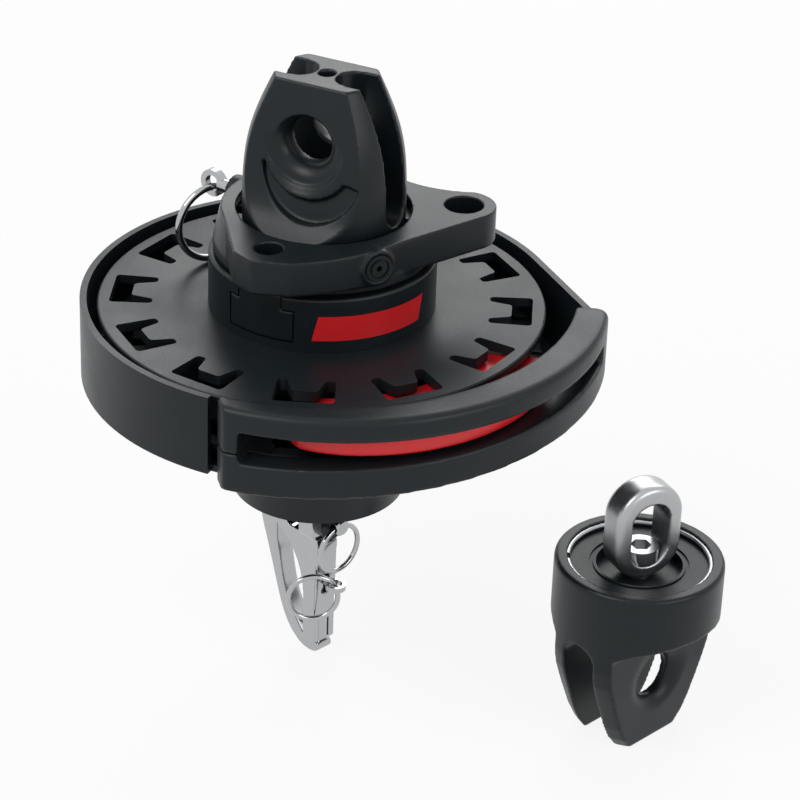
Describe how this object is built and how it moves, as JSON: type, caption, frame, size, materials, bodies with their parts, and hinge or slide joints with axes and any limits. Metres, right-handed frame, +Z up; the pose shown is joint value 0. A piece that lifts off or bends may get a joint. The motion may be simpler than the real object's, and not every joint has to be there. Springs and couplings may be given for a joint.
{
  "type": "top-down furler",
  "caption": "Top-down furler for free-flying sails: line drum with guard, free tack swivel, cable jaw and snap shackle, with its separate head swivel.",
  "frame": {"origin": "seat of the snap shackle's bail, where the deck ring pulls", "axes": "+Z up along the drum axis, -Y towards the line slot at the front, +X to the right where the head swivel stands"},
  "size_m": [0.2188, 0.1685, 0.221],
  "materials": {
    "black_anodised": "matte black hard anodised",
    "black_satin": "satin black anodised, turned",
    "black_plastic": "fine matte moulded",
    "red_plastic": "semi gloss moulded",
    "polished_steel": "polished stainless",
    "satin_steel": "satin stainless",
    "bearing_plastic": "tan bearing plastic"
  },
  "bodies": {
    "base": {"stem": "black_anodised", "stem_nut": "satin_steel", "upper_washer": "satin_steel", "base_housing": "black_satin", "guard_band": "black_plastic", "feeder_upper": "black_plastic", "feeder_lower": "black_plastic", "line_stripper": "red_plastic", "head_body": "black_anodised", "head_snap_ring": "satin_steel", "head_cover": "black_plastic"},
    "drum": {"hub": "black_anodised", "hub_key": "black_anodised", "upper_flange": "black_plastic", "lower_flange": "black_plastic", "core_ring": "black_plastic", "drum_screws": "satin_steel", "lower_washer": "satin_steel", "lower_bush": "bearing_plastic", "thrust_cage": "black_plastic", "thrust_balls": "bearing_plastic", "jaw": "black_anodised", "swivel_race": "black_anodised", "swivel_balls": "bearing_plastic"},
    "tack": {"tack_swivel": "black_anodised", "flush_plug": "black_plastic"},
    "lock": {"lock_pin": "polished_steel"},
    "lock_loop": {"pull_ring": "polished_steel"},
    "shackle": {"shackle_body": "polished_steel", "bail_pin": "polished_steel", "clevis_pin": "polished_steel"},
    "bail": {"shackle_bail": "polished_steel"},
    "plunger": {"shackle_plunger": "polished_steel"},
    "plunger_loop": {"plunger_ring": "polished_steel"},
    "clevis_loop": {"clevis_ring": "polished_steel"},
    "head_swivel": {"head_eye": "satin_steel", "head_bolt": "satin_steel", "head_nut": "satin_steel", "head_balls": "bearing_plastic"}
  },
  "joints": [
    {"name": "drum_spin", "type": "hinge", "parent": "base", "child": "drum", "pos_m": [0, 0, 0.124], "axis": [0, 0, 1], "continuous": true},
    {"name": "tack_spin", "type": "hinge", "parent": "drum", "child": "tack", "pos_m": [0, 0, 0.1554], "axis": [0, 0, 1], "continuous": true},
    {"name": "lock_slide", "type": "slide", "parent": "tack", "child": "lock", "axis": [0.8192, -0.5736, 0], "range_m": [0, 0.003]},
    {"name": "lock_loop_swing", "type": "hinge", "parent": "lock", "child": "lock_loop", "pos_m": [-0.03801, 0.02661, 0.16011], "axis": [0.848, 0.5299, 0], "range_deg": [0, 60]},
    {"name": "shackle_swing", "type": "hinge", "parent": "base", "child": "shackle", "pos_m": [0, 0, 0.0485], "axis": [0.7071, -0.7071, 0], "range_deg": [-20, 20]},
    {"name": "bail_open", "type": "hinge", "parent": "shackle", "child": "bail", "pos_m": [-0.0152, 0.0152, 0.046], "axis": [0.7071, 0.7071, 0], "range_deg": [0, 75]},
    {"name": "plunger_slide", "type": "slide", "parent": "shackle", "child": "plunger", "axis": [0, 0, -1], "range_m": [0, 0.004]},
    {"name": "plunger_loop_swing", "type": "hinge", "parent": "plunger", "child": "plunger_loop", "pos_m": [0.00692, -0.00725, 0.02333], "axis": [0.4951, 0.0696, -0.866], "range_deg": [-15, 0]},
    {"name": "clevis_loop_swing", "type": "hinge", "parent": "shackle", "child": "clevis_loop", "pos_m": [0.00806, -0.00806, 0.04837], "axis": [-0.7071, -0.7071, 0], "range_deg": [0, 60]},
    {"name": "head_spin", "type": "hinge", "parent": "base", "child": "head_swivel", "pos_m": [0.1095, -0.0385, 0.06], "axis": [0, 0, 1], "continuous": true}
  ]
}
